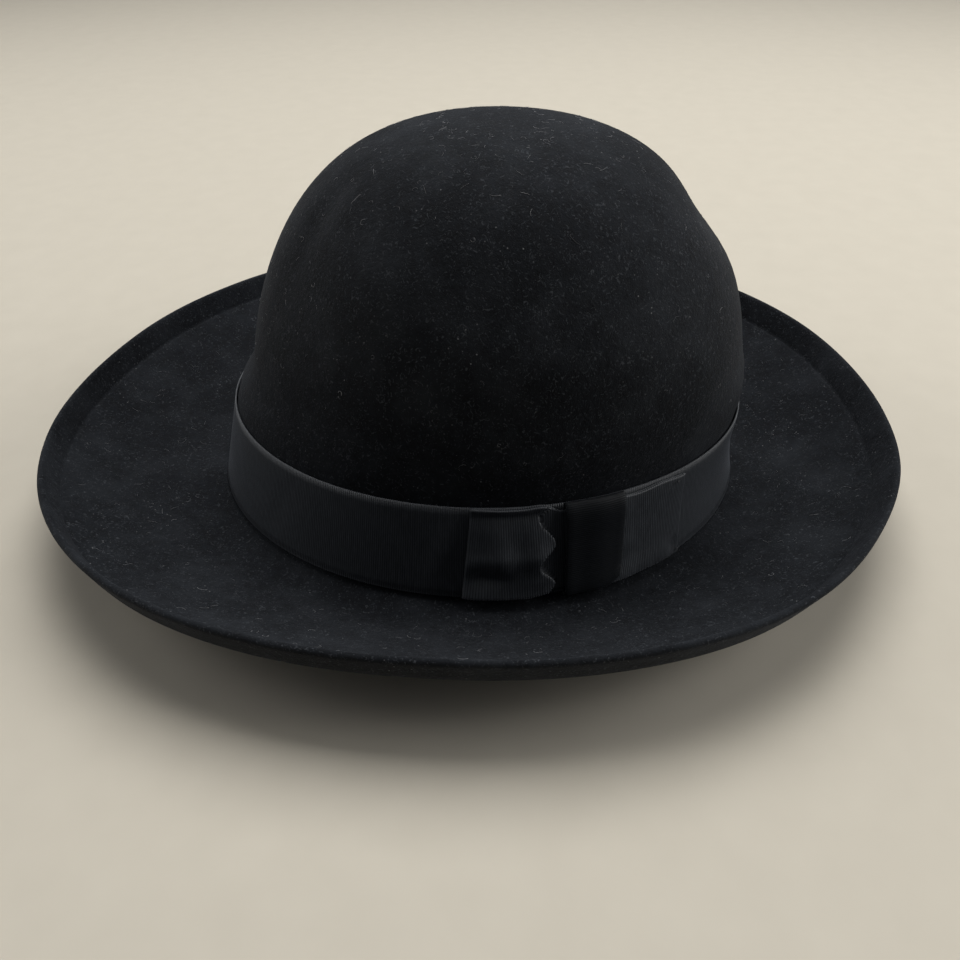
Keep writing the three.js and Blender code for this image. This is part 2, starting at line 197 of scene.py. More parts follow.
def brim_wave(turn):
    total = 0.0
    for wave in BRIM_WAVES:
        total += wave["reach"] * math.exp(-away(turn, wave["turn"], wave["spread"]) ** 2)
    return total


def squareness(turn):
    total = abs(math.cos(turn)) ** BRIM_SQUARENESS + abs(math.sin(turn)) ** BRIM_SQUARENESS
    return total ** (-1 / BRIM_SQUARENESS)


def place(radius, height, turn):
    """The place in the hat of a section point at a turn about +Z."""
    oval = OVAL * min(radius / FOOT_RADIUS, 1)
    outward = smooth((radius - RING_EDGE) / (CREASE_RADIUS - RING_EDGE))
    wide = mix(1, squareness(turn), outward)
    lean = CROWN_LEAN * smooth((height - WALL_TOP.y) / LEAN_RISE) + BRIM_FORWARD * (1 - outward)
    wave = unevenness(radius, height, turn)
    moved = outward * brim_wave(turn) - dent_depth(radius, height, turn) - wave * (1 - outward)
    return Vector((
        ((radius - oval) * wide + moved) * math.cos(turn),
        ((radius + oval) * wide + moved) * math.sin(turn) + lean,
        height + outward * (SIDE_LIFT * math.cos(2 * turn) + wave),
    ))


print("the pole of the crown is at", [round(value, 4) for value in place(0, CROWN_HEIGHT, 0)])

# %% [markdown]
# ## Two ways of making a piece
# A closed ring, such as the felt, is a section spun once round the axis: a few vertices joined by
# edges, and one spin with its seam merged. A ribbon is different, because it has a direction: its ribs
# run across it and its pattern must follow it. So a ribbon starts as a flat grid with a UV map in real
# metres, and each vertex is then moved to its place, with Solidify giving the cloth its thickness.


# %% Helpers that turn a bmesh into a finished piece
def put_in_scene(name, data):
    made = bpy.data.objects.new(name, data)
    bpy.context.scene.collection.objects.link(made)
    return made


def finish_piece(name, bm, material, slot, *nodes):
    """Writes the bmesh to a smooth-shaded object that rides on the hat."""
    mesh = bpy.data.meshes.new(name)
    bm.to_mesh(mesh)
    bm.free()
    mesh.polygons.foreach_set("use_smooth", [True] * len(mesh.polygons))
    mesh.materials.append(material)
    piece = put_in_scene(name, mesh)
    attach(piece, "root")
    if nodes:
        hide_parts(*nodes)
    print(f"{name}: {len(mesh.vertices)} vertices, {len(mesh.polygons)} faces")
    return piece


def spun(section, steps, is_closed):
    """A section of the hat spun all the way round and moved to its place."""
    bm = bmesh.new()
    verts = [bm.verts.new((point.x, 0, point.y)) for point in section]
    for first, second in zip(verts, verts[1:]):
        bm.edges.new((first, second))
    if is_closed:
        bm.edges.new((verts[-1], verts[0]))
    bmesh.ops.spin(
        bm, geom=bm.verts[:] + bm.edges[:], cent=(0, 0, 0), axis=(0, 0, 1),
        angle=math.tau, steps=steps, use_merge=True,
    )
    bmesh.ops.remove_doubles(bm, verts=bm.verts[:], dist=1e-6)
    bmesh.ops.recalc_face_normals(bm, faces=bm.faces[:])
    for vert in bm.verts:
        turn = math.atan2(vert.co.y, vert.co.x)
        vert.co = place(math.hypot(vert.co.x, vert.co.y), vert.co.z, turn)
    return bm


def warped_grid(columns, rows, length, width, shape):
    """A flat grid with a UV map in metres, moved to its place by shape(along, across), each 0 to 1."""
    bm = bmesh.new()
    cloth = bm.loops.layers.uv.new("cloth")
    bmesh.ops.create_grid(bm, x_segments=columns, y_segments=rows, size=0.5)
    for face in bm.faces:
        for loop in face.loops:
            along, across = loop.vert.co.x + 0.5, loop.vert.co.y + 0.5
            loop[cloth].uv = (along * length, across * width)
    for vert in bm.verts:
        vert.co = shape(vert.co.x + 0.5, vert.co.y + 0.5)
    return bm


def thicken(piece, thickness):
    """Gives cloth its thickness, half to each side of the surface that was drawn."""
    wall = piece.modifiers.new("thickness", "SOLIDIFY")
    wall.thickness = thickness
    wall.offset = 0


print("helpers ready")

# %% [markdown]
# ## Materials from nodes
# Every finish is a Principled shader. What is the same all over the surface is typed into the shader's
# own sockets. What changes over the surface comes from textures in Object coordinates, or from the
# cloth's own UV map, so that it stays on the piece from every side.


# %% Node helpers
def new_finish(name, roughness, specular, sheen=0.0, sheen_tint=(1, 1, 1)):
    material = bpy.data.materials.new(name)
    material.use_nodes = True
    shader = material.node_tree.nodes["Principled BSDF"]
    shader.inputs["Roughness"].default_value = roughness
    shader.inputs["Specular IOR Level"].default_value = specular
    shader.inputs["Sheen Weight"].default_value = sheen
    shader.inputs["Sheen Roughness"].default_value = 0.45
    shader.inputs["Sheen Tint"].default_value = (*sheen_tint, 1)
    return material, material.node_tree, shader


def add(tree, kind, inputs=None, **settings):
    """A new node with its settings, and its input sockets set to a value or linked to another socket."""
    node = tree.nodes.new("ShaderNode" + kind)
    for key, value in settings.items():
        setattr(node, key, value)
    for key, value in (inputs or {}).items():
        if isinstance(value, bpy.types.NodeSocket):
            tree.links.new(value, node.inputs[key])
        else:
            node.inputs[key].default_value = value
    return node


def object_space(tree):
    return add(tree, "TexCoord").outputs["Object"]


def cloth_space(tree):
    return add(tree, "UVMap", uv_map="cloth").outputs["UV"]


def grain(tree, space, scale, detail=2.0, roughness=0.5):
    """Noise whose grains are about 1 / scale metres across."""
    inputs = {"Vector": space, "Scale": scale, "Detail": detail, "Roughness": roughness}
    return add(tree, "TexNoise", inputs).outputs["Fac"]


def stretched(tree, space, scale):
    """A space whose three axes are scaled apart, for threads and streaks."""
    return add(tree, "Mapping", {"Vector": space, "Scale": scale}).outputs["Vector"]


def blend_colors(tree, share, low, high):
    """low where share is 0 and high where it is 1; each is a colour or another socket."""
    node = add(tree, "Mix", data_type="RGBA")
    tree.links.new(share, node.inputs["Factor"])
    for socket, value in ((node.inputs[6], low), (node.inputs[7], high)):
        if isinstance(value, bpy.types.NodeSocket):
            tree.links.new(value, socket)
        else:
            socket.default_value = (*value, 1)
    return node.outputs[2]


def calc(tree, operation, *values):
    """A sum on one or two values, each a number or a socket."""
    return add(tree, "Math", dict(enumerate(values)), operation=operation).outputs[0]


def remap(tree, value, low, high, to_low=0.0, to_high=1.0):
    names = ("Value", "From Min", "From Max", "To Min", "To Max")
    return add(tree, "MapRange", dict(zip(names, (value, low, high, to_low, to_high)))).outputs["Result"]


def relief(tree, height, distance, strength=1.0, under=None):
    """Bump of a depth in metres, laid over the bump under it."""
    inputs = {"Height": height, "Distance": distance, "Strength": strength}
    if under is not None:
        inputs["Normal"] = under
    return add(tree, "Bump", inputs).outputs["Normal"]


print("node helpers ready")

# %% [markdown]
# ## Wool felt
# Felt has no threads. It is a mat of fibres with a short nap, so it is very rough, lighter where the
# nap has been brushed one way, and a little lighter at grazing angles, which the sheen gives. Black
# felt also shows every bit of dust. Three sizes of noise make it: brushed patches, fibre clumps and
# the nap itself. A twisted noise on top draws the pale hairs that curl out of the mat.

# %% Felt finish
FELT_DARK = (0.0028, 0.0035, 0.0049)
FELT_LIGHT = (0.0080, 0.0095, 0.0120)
FELT_BRUSHED = (0.0175, 0.0200, 0.0240)
FELT_HAIR = (0.056, 0.061, 0.068)
FELT_DUST = (0.150, 0.152, 0.156)


def felt_finish():
    material, tree, shader = new_finish("wool felt", 0.92, 0.16, 0.05, (0.62, 0.66, 0.75))
    space = object_space(tree)
    clumps = remap(tree, grain(tree, space, 330, 5.0, 0.7), 0.38, 0.64)
    brushed = remap(tree, grain(tree, space, 38, 5.0, 0.68), 0.44, 0.68, 0.0, 0.7)
    wool = blend_colors(tree, clumps, FELT_DARK, FELT_LIGHT)
    wool = blend_colors(tree, brushed, wool, FELT_BRUSHED)
    curls = {"Vector": space, "Scale": 520, "Detail": 2.0, "Roughness": 0.6, "Distortion": 2.6}
    hairs = remap(tree, add(tree, "TexNoise", curls).outputs["Fac"], 0.59, 0.69, 0.0, 0.65)
    wool = blend_colors(tree, hairs, wool, FELT_HAIR)
    specks = add(tree, "TexVoronoi", {"Vector": space, "Scale": 360}).outputs["Distance"]
    patches = remap(tree, grain(tree, space, 55, 3.0), 0.48, 0.62)
    dust = remap(tree, specks, 0.10, 0.06)
    dust = calc(tree, "MULTIPLY", dust, patches)
    tree.links.new(blend_colors(tree, dust, wool, FELT_DUST), shader.inputs["Base Color"])
    tree.links.new(remap(tree, clumps, 0, 1, 0.86, 0.98), shader.inputs["Roughness"])
    bumps = relief(tree, grain(tree, space, 90, 3.0), 0.7 * MM, 0.6)
    bumps = relief(tree, grain(tree, space, 650, 4.0, 0.7), 0.35 * MM, 0.9, bumps)
    bumps = relief(tree, grain(tree, space, 2400, 1.0), 0.14 * MM, 0.7, bumps)
    tree.links.new(bumps, shader.inputs["Normal"])
    return material


felt = felt_finish()
print("finish:", felt.name)

# %% [markdown]
# ## The felt body
# Crown and brim are one piece of felt of one thickness, so the section is one closed line: down the
# outside, out along the brim, up and over the rounded edge of the lip, and back underneath. Spinning
# that closed line gives a watertight shell. A displaced sphere and a disc joined to it would leave a
# join at the fold, where the real hat has none.

# %% Felt body
CREASE_GROOVE = 0.6 * MM  # the lip was pressed up against a sharp edge
FELT_TURNS = 300  # steps round the hat
DOME_STEPS = 44
WALL_STEPS = 7
FOLD_STEPS = 5
BRIM_STEPS = 26
LIP_STEPS = 5
LIP_SHARES = [i / LIP_STEPS for i in range(1, LIP_STEPS + 1)]
EDGE_STEPS = 5


def felt_top_line():
    """From the pole down the crown and out to the crease at the lip's foot."""
    dome = dome_line(DOME_STEPS)[::-1]
    wall = [on_wall(RIBBON_WIDTH * (1 - i / WALL_STEPS), 0) for i in range(1, WALL_STEPS + 1)]
    fold = []
    for i in range(1, FOLD_STEPS + 1):
        angle = mix(math.pi + WALL_TILT, 1.5 * math.pi, i / FOLD_STEPS)
        fold.append(FOLD_CENTRE + FOLD_RADIUS * Vector((math.cos(angle), math.sin(angle))))
    ring = [mix(FOLD_CENTRE, Vector((RING_EDGE, FOLD_CENTRE.y)), share) for share in (0.33, 0.67)]
    for point in ring:
        point.y = FELT
    brim = [brim_point(i / BRIM_STEPS) for i in range(BRIM_STEPS)]
    crease = [brim_point(0.985), brim_point(1) - Vector((0, CREASE_GROOVE))]
    return dome + wall + fold + ring + brim + crease


def lip_line():
    """Up the lip's inner face, round its cut edge, down its outer face and round the bend below."""
    crease = brim_point(1)
    up = Vector((LIP_FLARE, LIP_HEIGHT)).normalized()
    out = Vector((up.y, -up.x))
    height = math.hypot(LIP_FLARE, LIP_HEIGHT)
    middle = crease + up * (height - FELT / 2) + out * FELT / 2
    line = [crease + up * (height - FELT / 2) * share for share in (0.07, *LIP_SHARES)]
    for i in range(1, EDGE_STEPS + 1):
        angle = math.pi * (1 - i / (EDGE_STEPS + 1))
        line.append(middle + FELT / 2 * (out * math.cos(angle) + up * math.sin(angle)))
    outer = [crease + out * FELT + up * (height - FELT / 2) * (1 - i / LIP_STEPS) for i in range(LIP_STEPS)]
    bend = [crease + FELT * (out * 0.97 - up * 0.2), crease + FELT * (out * 0.62 - up * 0.66)]
    return line + outer + bend


def felt_body():
    top = felt_top_line()
    under = offset_line(top, FELT)[:-1]
    for above, below in zip(top, under):
        if above.y <= FELT + 1e-9:
            below.x, below.y = above.x, 0
    section = under + lip_line()[::-1] + top[::-1]
    return finish_piece("felt_hat_body", spun(section, FELT_TURNS, False), felt, "felt", "felt_body")


felt_piece = felt_body()

# %% [markdown]
# ## Grosgrain
# Grosgrain is a ribbon with ribs across it: a thick weft thread under a fine warp. Each rib is about
# three quarters of a millimetre, large enough to see, so the ribs are real waves of the mesh and not
# only bump. The edge of each rib shows as a tiny scallop along the selvedge. The finer threads between
# them, and the worn lighter edges, are left to the material. The knot's darker colour is painted shade.

# %% Grosgrain finish
RIB_PITCH = 0.73 * MM
RIB_DEPTH = 0.055 * MM
RIBBON_THICK = 0.45 * MM
RIBBON_DARK = (0.0122, 0.0140, 0.0168)
RIBBON_LIGHT = (0.0490, 0.0540, 0.0615)
RIBBON_EDGE = (0.075, 0.080, 0.088)
# The knot's colours are painted shade: the same ribbon made darker, because the knot sits in shadow.
KNOT_SHADED_DARK = (0.0030, 0.0036, 0.0045)
KNOT_SHADED_LIGHT = (0.0110, 0.0128, 0.0155)
KNOT_SHADED_EDGE = (0.0160, 0.0180, 0.0210)


def grosgrain_finish(name, dark, light, worn, specular):
    material, tree, shader = new_finish(name, 0.5, specular, 0.2 * specular, (0.7, 0.75, 0.85))
    cloth = cloth_space(tree)
    parts = add(tree, "SeparateXYZ", {"Vector": cloth})
    phase = calc(tree, "MULTIPLY", parts.outputs["X"], math.tau / RIB_PITCH)
    rib = remap(tree, calc(tree, "COSINE", phase), -1, 1)
    uneven = grain(tree, stretched(tree, cloth, (1, 0.25, 1)), 900, 2.0)
    thread = grain(tree, stretched(tree, cloth, (0.35, 1, 1)), 5200, 1.0)
    tone = calc(tree, "MULTIPLY", rib, remap(tree, uneven, 0.3, 0.7, 0.45, 1.0))
    color = blend_colors(tree, tone, dark, light)
    from_middle = calc(tree, "SUBTRACT", parts.outputs["Y"], RIBBON_WIDTH / 2)
    from_middle = calc(tree, "ABSOLUTE", from_middle)
    edge = remap(tree, from_middle, RIBBON_WIDTH / 2 - 0.7 * MM, RIBBON_WIDTH / 2)
    tree.links.new(blend_colors(tree, edge, color, worn), shader.inputs["Base Color"])
    tree.links.new(remap(tree, thread, 0.3, 0.7, 0.40, 0.62), shader.inputs["Roughness"])
    bumps = relief(tree, thread, 0.05 * MM, 0.6)
    tree.links.new(relief(tree, uneven, 0.06 * MM, 0.5, bumps), shader.inputs["Normal"])
    return material


ribbon = grosgrain_finish("grosgrain ribbon", RIBBON_DARK, RIBBON_LIGHT, RIBBON_EDGE, 0.5)
# The knot's finish is a darker copy of the ribbon's finish: painted shade.
shaded_knot_ribbon = grosgrain_finish("grosgrain knot painted shade", KNOT_SHADED_DARK, KNOT_SHADED_LIGHT, KNOT_SHADED_EDGE, 0.2)
print("finishes:", ribbon.name, "and", shaded_knot_ribbon.name)

# %% [markdown]
# ## Drawing a ribbon on the wall
# On the crown a ribbon is easiest to think of as flat: a way along the wall, a height up it and a
# distance off the felt, all in metres. A folded ribbon then is a curve in way and distance. The curve
# runs smoothly through a few points and is cut into even steps, so that every rib keeps its width.

# %% Ribbon helpers
WALL_MEAN = on_wall(RIBBON_WIDTH / 2, 0).x  # mean radius at the middle of the ribbon
COLUMNS_PER_RIB = 4


def way_of(turn):
    """Degrees of turn as a way along the wall."""
    return math.radians(turn) * WALL_MEAN


def turn_of(way):
    return math.degrees(way / WALL_MEAN)


def on_hat(way, up, off):
    point = on_wall(up, off)
    return place(point.x, point.y, way / WALL_MEAN)


def smooth_curve(points, share):
    """A curve through all the points, evenly from one to the next, from share 0 to 1."""
    reach = share * (len(points) - 1)
    first = min(int(reach), len(points) - 2)
    t = reach - first
    a, b, c, d = (points[min(max(first + k, 0), len(points) - 1)] for k in (-1, 0, 1, 2))
    return 0.5 * (2 * b + (c - a) * t + (2 * a - 5 * b + 4 * c - d) * t**2 + (3 * b - a - 3 * c + d) * t**3)


def even_route(points, steps):
    """The same curve as steps + 1 points that are evenly far apart, and its length."""
    dense = [smooth_curve(points, i / (20 * len(points))) for i in range(20 * len(points) + 1)]
    reached = [0.0]
    for first, second in zip(dense, dense[1:]):
        reached.append(reached[-1] + (second - first).length)
    route, at = [], 0
    for i in range(steps + 1):
        wanted = reached[-1] * i / steps
        while at < len(dense) - 2 and reached[at + 1] < wanted:
            at += 1
        share = (wanted - reached[at]) / max(reached[at + 1] - reached[at], 1e-9)
        route.append(dense[at].lerp(dense[at + 1], min(share, 1)))
    return route, reached[-1]


def rib_at(length_along):
    return RIB_DEPTH * math.cos(math.tau * length_along / RIB_PITCH)


def scallop(length_along, across):
    """The selvedge stands out a hair at each rib and draws in between two."""
    edge = smooth((abs(across - 0.5) - 0.46) / 0.04)
    return math.copysign(0.12 * MM, across - 0.5) * edge * math.cos(math.tau * length_along / RIB_PITCH)


def ribbon_piece(name, node, length, rows, shape, finish, **cloth):
    """A length of ribbon, given its ribs' columns, its thickness and its flat size."""
    columns = COLUMNS_PER_RIB * round(length / RIB_PITCH)
    grid = warped_grid(columns, rows, length, RIBBON_WIDTH, shape)
    piece = finish_piece(name, grid, finish, "ribbon", node)
    thicken(piece, RIBBON_THICK)
    return piece


print(f"one degree along the wall is {way_of(1) / MM:.2f} mm")

# %% [markdown]
# ## The ribbon band
# The band is one length of ribbon stretched round the crown, with its ends hidden under the bow. It
# sits tight, but felt and ribbon have both been handled, so it has a few shallow creases: one slanting
# crease near the front, and a pucker next to the bow where the stitches pull.

# %% Ribbon band
BAND_OFF = 0.85 * MM  # middle of the ribbon's thickness, off the felt
BAND_JOIN = 26.0  # degrees of turn at which the ends meet, under the knot
BAND_GAP = 0.3  # degrees between the ends
BAND_ROWS = 12
BAND_CREASES = [
    {"turn": -55, "slant": -17, "spread": 3.2, "depth": 0.42 * MM},
    {"turn": -41, "slant": 9, "spread": 3.0, "depth": -0.20 * MM},
    {"turn": -3, "slant": 5, "spread": 2.2, "depth": 0.60 * MM},
    {"turn": -8, "slant": -12, "spread": 2.6, "depth": -0.30 * MM},
    {"turn": 56, "slant": 12, "spread": 4.0, "depth": 0.22 * MM},
    {"turn": 128, "slant": -10, "spread": 3.6, "depth": 0.30 * MM},
    {"turn": 214, "slant": 14, "spread": 4.2, "depth": 0.26 * MM},
]


def band_crease(turn, across):
    total = 0.0
    for crease in BAND_CREASES:
        middle = crease["turn"] + crease["slant"] * (across - 0.5)
        apart = away(math.radians(turn), middle, crease["spread"])
        inside = math.sin(math.pi * min(max(across, 0), 1))
        total += crease["depth"] * inside * math.exp(-apart * apart)
    return total


def ribbon_band():
    start, turns = BAND_JOIN + BAND_GAP / 2, 360 - BAND_GAP
    length = way_of(turns)

    def shape(along, across):
        turn = start + along * turns
        up = across * (RIBBON_WIDTH - 0.2 * MM) + 0.1 * MM + scallop(along * length, across)
        off = BAND_OFF + rib_at(along * length) + band_crease(turn, across)
        return on_hat(way_of(turn), up, off)

    return ribbon_piece(
        "ribbon_band_grosgrain", "ribbon_band", length, BAND_ROWS, shape, ribbon,
        held="stretched", rests_on=[felt_piece.name],
    )


band_piece = ribbon_band()

# %% [markdown]
# ## The bow
# This flat bow has three pieces of the same ribbon. The front half is a soft loop, folded back on
# itself. The rear half is folded flat and tacked down at its end. A short piece wraps round the middle
# as the knot, and both halves are gathered into it. Each is a warped grid, because each is a flat
# ribbon that was folded. The loop's front is drawn as a profile up the ribbon: it rolls out at its
# top edge, swells in the middle, caves in below and flares at the bottom.

# %% Bow sizes
LOOP_TURN = 2.0
KNOT_TURNS = (20.3, 32.4)
TAIL_TURN = 48.5
TAIL_TILT = 2.0  # degrees that the tail's end leans over its height
KNOT_TILTS = (0.8, 2.0)  # the same for the knot's two edges
BOW_BACK = 1.75 * MM  # the bow's back layers, off the felt
TUNNEL_BACK = 2.65 * MM  # the layers inside the knot
TUNNEL_FRONT = 3.45 * MM
BOW_ROWS = 40
KNOT_ROWS = 26

# How far the loop's front layer stands off its back layer in millimetres, from its lower to its upper
# edge in even steps.
LOOP_PROFILE = (3.0, 2.6, 2.1, 1.9, 2.6, 3.6, 3.9, 3.4, 2.9, 2.5, 2.1, 1.45, 0.55, 2.3)
LOOP_VALLEY = 2.4 * MM  # the front layer in the hollow beside the knot


def route_point(route, along):
    """The point of an even route at a share of its length."""
    reach = along * (len(route) - 1)
    first = min(int(reach), len(route) - 2)
    return route[first].lerp(route[first + 1], reach - first)


# %% Front loop
def loop_shoulder(across):
    """The turn, in degrees, at which the loop's front layer falls into the hollow beside the knot."""
    return 16.9 + 1.5 * math.cos(2 * math.tau * (across - 0.11)) + 0.8 * (across - 0.5)


def pulled_edges(turn, across):
    """The knot pulls the ribbon's edges in, just before it; the upper edge rises first."""
    upper = -2.1 * MM * smooth((turn - 16.8) / 3.6) + 0.5 * MM * math.exp(-(((turn - 15.8) / 2.2) ** 2))
    lower = 1.1 * MM + 1.6 * MM * smooth((turn - 12) / 7)
    return upper * across**2 + lower * (1 - across) ** 3


def near_loop_fold(turn):
    """1 at the loop's fold, and 0 from 7 degrees behind it."""
    return 1 - smooth((turn - LOOP_TURN) / 7)


def loop_fall(turn, across):
    """How far the front layer has fallen into the hollow, from 0 to 1."""
    return smooth((turn - loop_shoulder(across)) / 0.8)


def loop_front_off(turn, across):
    """The front layer's distance off the felt: profile, corner dimple, and the fall beside the knot."""
    swell = smooth_curve([Vector((value * MM, 0)) for value in LOOP_PROFILE], across).x
    swell *= 1 - 0.35 * near_loop_fold(turn) * smooth(across * 1.6)
    swell += 1.0 * MM * smooth((turn - 7) / 6) * math.exp(-(((across - 0.2) / 0.11) ** 2))
    swell += 0.35 * MM * math.sin(turn * 0.9 + 1.2 * across) * math.sin(math.pi * across) ** 2
    dimple = math.exp(-(((turn - 6.0 - 6 * (0.25 - across)) / 3.2) ** 2) - ((across - 0.25) / 0.09) ** 2)
    return mix(BOW_BACK + swell - 1.0 * MM * dimple, LOOP_VALLEY, loop_fall(turn, across))


def bow_loop():
    outline = [(26, 0), (21.5, 0), (18, 0), (12, 0), (6, 0), (3.4, 0.1), (LOOP_TURN, 0.5)]
    outline += [(3.2, 0.9), (6, 1), (12, 1), (18, 1), (21.5, 1), (26, 1)]
    depth = 3.2 * MM
    route, length = even_route([Vector((way_of(turn), lift * depth)) for turn, lift in outline], 600)

    def shape(along, across):
        step = route_point(route, along)
        turn, lift = turn_of(step.x), step.y / depth
        leaning = turn + near_loop_fold(turn) * min(lift, 0.5) * 3.4 * (across - 0.55)
        leaning -= 1.5 * max(lift, 0) * math.sin(math.pi * loop_fall(turn, across))
        up = across * RIBBON_WIDTH + scallop(along * length, across) + pulled_edges(turn, across)
        off = mix(BOW_BACK, loop_front_off(turn, across), lift)
        tunnel = mix(TUNNEL_BACK, TUNNEL_FRONT, smooth((along - 0.45) / 0.1))
        off = mix(off, tunnel, smooth((turn - KNOT_TURNS[0] - 0.3) / 1.5))
        return on_hat(way_of(leaning), up, off + rib_at(along * length))

    return ribbon_piece(
        "bow_loop_grosgrain", "bow_front_loop", length, BOW_ROWS, shape, ribbon,
        held="folded", rests_on=[band_piece.name],
    )


loop_piece = bow_loop()


# %% [markdown]
# ## The rear half of the bow
# The rear half hides its end: the ribbon runs back, folds at the tip and returns under itself, and two
# tacks hold the tip down. It lies flatter than the loop, so its shape is nearly all in the fold, with a
# lifted lower edge and a dimple where the lower tack pulls.

# %% Rear half, folded flat
def bow_tail():
    outline = [(27, 1.6), (33, 1.5), (36.5, 1.0), (42, 1.0), (47.6, 0.95), (TAIL_TURN, 0.5)]
    outline += [(47.6, 0.05), (42, 0), (36.5, 0), (33, 0.7), (27, 0.8)]
    depth = 0.95 * MM
    route, length = even_route([Vector((way_of(turn), lift * depth)) for turn, lift in outline], 600)

    def shape(along, across):
        step = route_point(route, along)
        turn = turn_of(step.x)
        front = 1 - smooth((along - 0.48) / 0.04)
        near_knot = 1 - smooth((turn - 31) / 5)
        near_end = smooth((turn - 43) / 5)
        drop = 1.3 + 0.35 * math.sin((turn - 34) * 0.55)
        up = across * RIBBON_WIDTH + scallop(along * length, across)
        up -= drop * MM * smooth((across - 0.6) / 0.4)
        up += 0.7 * MM * (1 - across) ** 2
        way = step.x + way_of(TAIL_TILT) * smooth((turn - 34) / 14) * (across - 0.5)
        off = BOW_BACK + 0.1 * MM + step.y
        lower_lift = math.exp(-(((across - 0.05 - (turn - 34) * 0.006) / 0.13) ** 2))
        off += front * lower_lift * mix(0.55, 0.2, near_end) * MM
        pinch = math.exp(-(((turn - 46.6) / 1.5) ** 2) - ((across - 0.13) / 0.09) ** 2)
        off -= front * 0.65 * MM * pinch
        off += front * 0.22 * MM * near_knot * math.cos(math.tau * 2.2 * across)
        return on_hat(way, up, off + rib_at(along * length))

    return ribbon_piece(
        "bow_tail_grosgrain", "bow_rear_tail", length, BOW_ROWS, shape, ribbon,
        held="folded", rests_on=[band_piece.name],
    )


bow_tail()

# %% [markdown]
# ## The knot
# The knot's ribbon runs up over the front of the bow and down behind it, so its ribs lie level, and
# its curve is drawn in the upright plane: height up the wall and distance off the felt. The front is
# nearly flat, the top rolls over softly, and both ends meet behind, where nobody sees them.

# %% Knot
KNOT_OUTLINE = [  # height up the wall and distance off the felt, in millimetres
    (17.5, 1.95), (6, 1.95), (0.6, 2.0), (-0.7, 2.7), (-0.6, 4.2), (0.9, 5.15), (6, 5.3), (12, 5.15),
    (20, 5.1), (27, 5.25), (30.8, 5.1), (33.3, 4.4), (34.5, 3.1), (33.6, 2.1), (29, 1.95), (18, 1.95),
]


def bow_knot():
    route, length = even_route([Vector((up * MM, off * MM)) for up, off in KNOT_OUTLINE], 500)
    first, last = (way_of(turn) for turn in KNOT_TURNS)

    def shape(along, across):
        step = route_point(route, along)
        front = smooth((step.y - 3 * MM) / (1.5 * MM))
        height = min(max(step.x / RIBBON_WIDTH, 0), 1)
        left = first + way_of(KNOT_TILTS[0]) * (height - 0.5)
        right = last + way_of(KNOT_TILTS[1]) * (height - 0.5)
        way = mix(left, right, across) + 0.5 * scallop(along * length, across)
        edge = smooth((abs(across - 0.5) - 0.40) / 0.10)
        gather = 0.16 * math.cos(math.tau * (1.5 * across + 0.15)) - 0.35 * edge - 0.2 * across
        foot = 1 - smooth(step.x / (9 * MM))
        up = step.x + foot * (0.7 + 1.9 * smooth((across - 0.66) / 0.34) ** 2) * MM
        return on_hat(way, up, step.y + front * (gather * MM + rib_at(along * length)))

    gathered = (last - first) * length
    # The knot gets the darker finish, which is painted shade.
    return ribbon_piece(
        "bow_knot_grosgrain", "bow_knot", length, KNOT_ROWS, shape, shaded_knot_ribbon,
        area=gathered, held="folded", rests_on=[loop_piece.name],
    )


bow_knot()

# %% [markdown]
# ## Inside the hat: finishes
# Nobody sees the inside while the hat stands, but whoever picks it up does. The sweatband is thin dark
# leather with a fine pebbled grain, the lining is black satin, and tapes, label and thread are plain
# cotton and polyester. Each gets its own weave or grain at its true size.


# %% Leather, satin, tape, label, thread and reed
def leather_finish():
    material, tree, shader = new_finish("sweatband leather", 0.45, 0.45)
    space = object_space(tree)
    cells = add(tree, "TexVoronoi", {"Vector": space, "Scale": 950}, feature="DISTANCE_TO_EDGE")
    pebble = remap(tree, cells.outputs["Distance"], 0.0, 0.25)
    wear = remap(tree, grain(tree, space, 45, 4.0), 0.35, 0.7)
    color = blend_colors(tree, wear, (0.030, 0.014, 0.008), (0.075, 0.038, 0.022))
    tree.links.new(color, shader.inputs["Base Color"])
    tree.links.new(remap(tree, wear, 0, 1, 0.36, 0.56), shader.inputs["Roughness"])
    bumps = relief(tree, pebble, 0.07 * MM, 0.7)
    bumps = relief(tree, grain(tree, space, 160, 3.0), 0.25 * MM, 0.4, bumps)
    tree.links.new(bumps, shader.inputs["Normal"])
    return material


def woven_finish(name, dark, light, pitch, roughness, sheen, weft=0.5):
    """A plain weave from the cloth's UV map; a small weft makes the smooth face of satin."""
    material, tree, shader = new_finish(name, roughness, 0.5, sheen, (0.8, 0.84, 0.95))
    parts = add(tree, "SeparateXYZ", {"Vector": cloth_space(tree)})
    waves = []
    for axis in ("X", "Y"):
        phase = calc(tree, "MULTIPLY", parts.outputs[axis], math.tau / pitch)
        waves.append(calc(tree, "SINE", phase))
    weave = calc(tree, "ADD", calc(tree, "MULTIPLY", waves[0], weft), waves[1])
    weave = remap(tree, weave, -1.5, 1.5)
    uneven = grain(tree, object_space(tree), 300, 3.0)
    tone = calc(tree, "MULTIPLY", weave, uneven)
    tree.links.new(blend_colors(tree, tone, dark, light), shader.inputs["Base Color"])
    polish = remap(tree, uneven, 0.3, 0.7, roughness - 0.06, roughness + 0.08)
    tree.links.new(polish, shader.inputs["Roughness"])
    bumps = relief(tree, weave, 0.06 * MM, 0.6)
    soft = relief(tree, grain(tree, object_space(tree), 60, 2.0), 0.4 * MM, 0.25, bumps)
    tree.links.new(soft, shader.inputs["Normal"])
    return material


